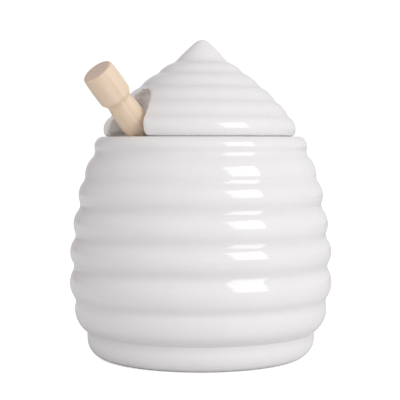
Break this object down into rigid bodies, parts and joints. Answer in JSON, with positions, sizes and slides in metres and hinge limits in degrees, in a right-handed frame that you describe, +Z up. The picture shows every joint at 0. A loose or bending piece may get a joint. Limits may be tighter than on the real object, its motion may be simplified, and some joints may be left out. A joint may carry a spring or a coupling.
{
  "type": "honey pot with lid and dipper",
  "caption": "Ribbed beehive-shaped glazed ceramic honey pot with a stepped lift-off lid, notched for the handle of a turned wooden dipper.",
  "frame": {"origin": "centre of the pot's foot, on the plane that it stands on", "axes": "+Z up along the pot's axis; the lid's notch and the dipper lean toward -X, in the XZ plane"},
  "size_m": [0.1166, 0.114, 0.1379],
  "materials": {
    "glaze": "gloss",
    "pale_wood": "satin"
  },
  "bodies": {
    "pot": {"pot": "glaze"},
    "lid": {"lid": "glaze"},
    "dipper": {"dipper": "pale_wood"}
  },
  "joints": [
    {"name": "lid_lift", "type": "slide", "parent": "pot", "child": "lid", "axis": [0, 0, 1], "range_m": [0, 0.07]},
    {"name": "dipper_draw", "type": "slide", "parent": "pot", "child": "dipper", "axis": [-0.6795, 0, 0.7336], "range_m": [0, 0.055]}
  ]
}
